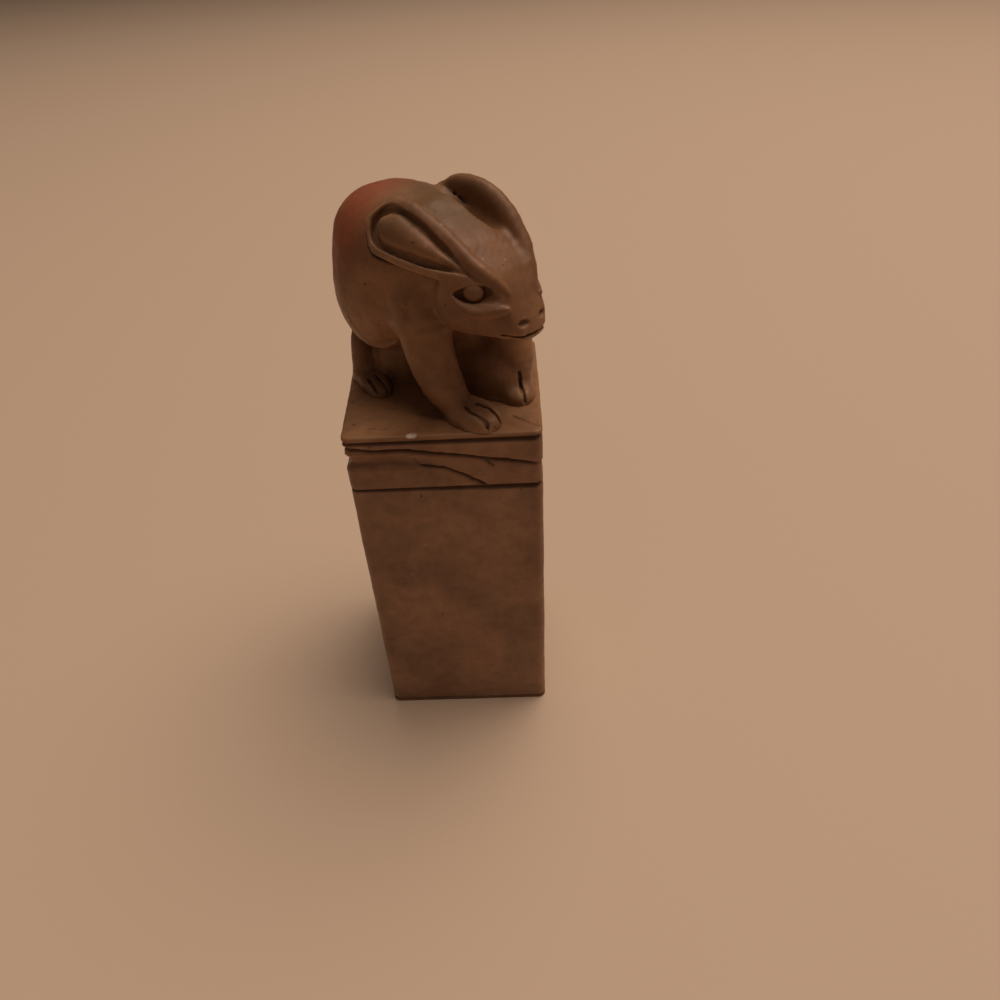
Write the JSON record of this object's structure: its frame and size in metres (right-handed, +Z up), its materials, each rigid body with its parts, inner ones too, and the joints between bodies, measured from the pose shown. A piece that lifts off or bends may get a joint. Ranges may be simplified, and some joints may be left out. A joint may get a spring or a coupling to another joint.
{
  "type": "seal stamp",
  "caption": "Square stone seal with an engraved spiral printing face, a ring of carved rock ledges and a crouching hare carved on top as the grip.",
  "frame": {"origin": "middle of the part's plan box, in the plane of the printing face, which is what it stands on", "axes": "+Z up, from the printing face to the hare; -Y out of the front of the block, which the hare's right side faces; the hare looks 40 degrees from +X towards -Y"},
  "size_m": [0.0267, 0.0254, 0.079],
  "materials": {
    "printing_stone": "engraved, matt",
    "shaft_stone": "ground and waxed",
    "ledge_stone": "carved and waxed",
    "slab_stone": "carved and waxed",
    "hare_stone": "carved and polished"
  },
  "bodies": {
    "root": {"printing_face": "printing_stone", "seal_shaft": "shaft_stone", "carved_band": "ledge_stone", "plinth_slab": "slab_stone", "hare_body": "hare_stone", "hare_head": "hare_stone", "hare_underbelly": "hare_stone", "hare_right_haunch": "hare_stone", "hare_right_foreleg": "hare_stone", "hare_right_hind_foot": "hare_stone", "hare_right_forepaw": "hare_stone", "hare_right_ear": "hare_stone", "hare_right_eye": "hare_stone", "hare_left_haunch": "hare_stone", "hare_left_foreleg": "hare_stone", "hare_left_hind_foot": "hare_stone", "hare_left_forepaw": "hare_stone", "hare_left_ear": "hare_stone", "hare_left_eye": "hare_stone", "hare_tail": "hare_stone"}
  },
  "joints": []
}
